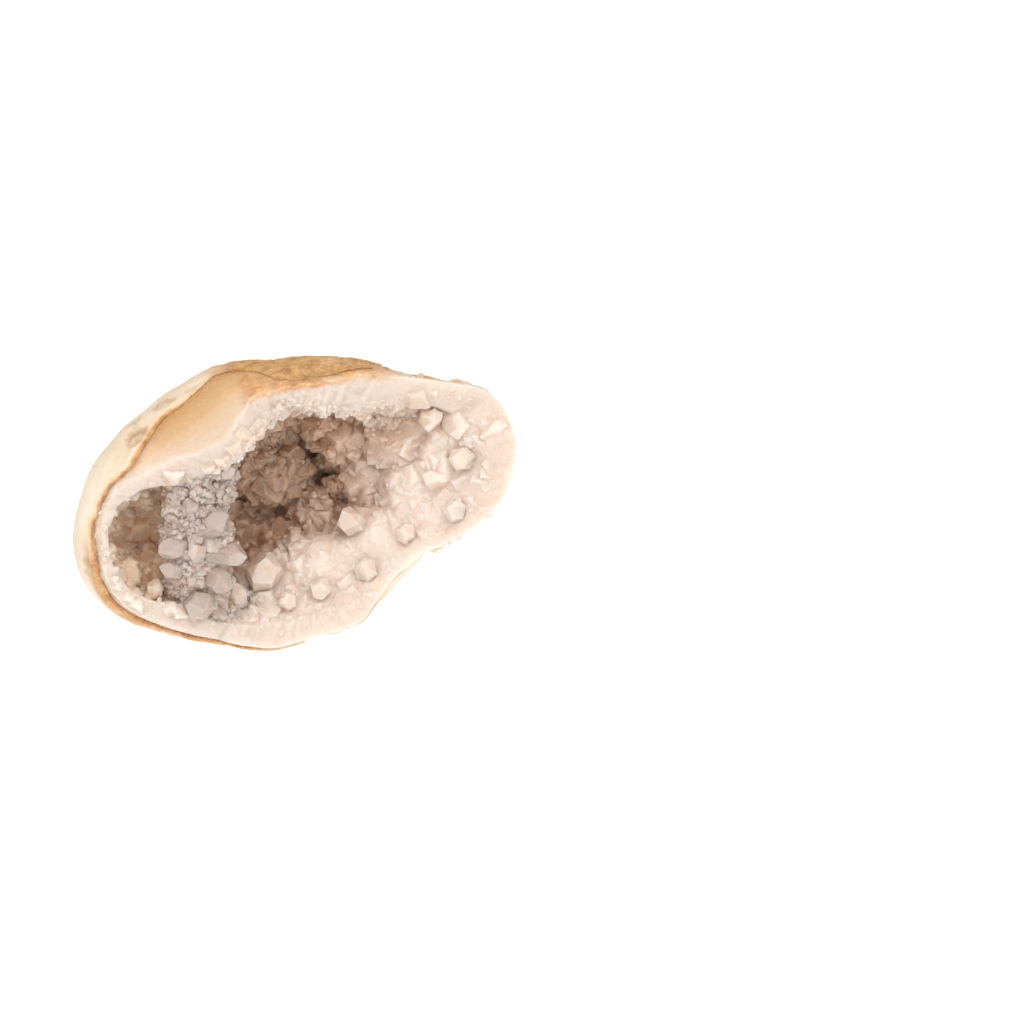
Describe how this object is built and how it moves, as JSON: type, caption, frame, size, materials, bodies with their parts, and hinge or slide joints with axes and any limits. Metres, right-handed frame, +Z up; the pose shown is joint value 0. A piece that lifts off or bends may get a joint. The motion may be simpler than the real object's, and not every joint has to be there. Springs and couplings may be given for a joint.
{
  "type": "quartz geode half",
  "caption": "Broken half of a quartz geode: weathered crust, white quartz wall and a hollow lined with clear crystals.",
  "frame": {"origin": "centre of the body's box in X and Y, on the small flat spot it stands on", "axes": "+X along the body's length, towards its higher end; the open hollow faces -Y; +Z up"},
  "size_m": [0.088, 0.0432, 0.0592],
  "materials": {
    "rind": "matte",
    "quartz": "satin",
    "crystal": "gloss"
  },
  "bodies": {
    "root": {"crystal_back_low": "crystal", "crystal_back_mid": "crystal", "crystal_curtain_foot": "crystal", "crystal_curtain_front": "crystal", "crystal_curtain_hanging": "crystal", "crystal_curtain_left": "crystal", "crystal_curtain_left_low": "crystal", "crystal_curtain_shoulder": "crystal", "crystal_curtain_tip": "crystal", "crystal_curtain_top": "crystal", "crystal_floor_left": "crystal", "crystal_floor_low": "crystal", "crystal_floor_pointed": "crystal", "crystal_floor_right": "crystal", "crystal_floor_small": "crystal", "crystal_floor_upright": "crystal", "crystal_left_high": "crystal", "crystal_left_low": "crystal", "crystal_roof_end": "crystal", "crystal_roof_mid": "crystal", "crystal_roof_right": "crystal", "crystal_slope_end": "crystal", "crystal_slope_low": "crystal", "crystal_slope_mid": "crystal", "crystal_slope_right": "crystal", "crystal_slope_round": "crystal", "quartz_curtain": "crystal", "quartz_wall": "quartz", "rind": "rind"}
  },
  "joints": []
}
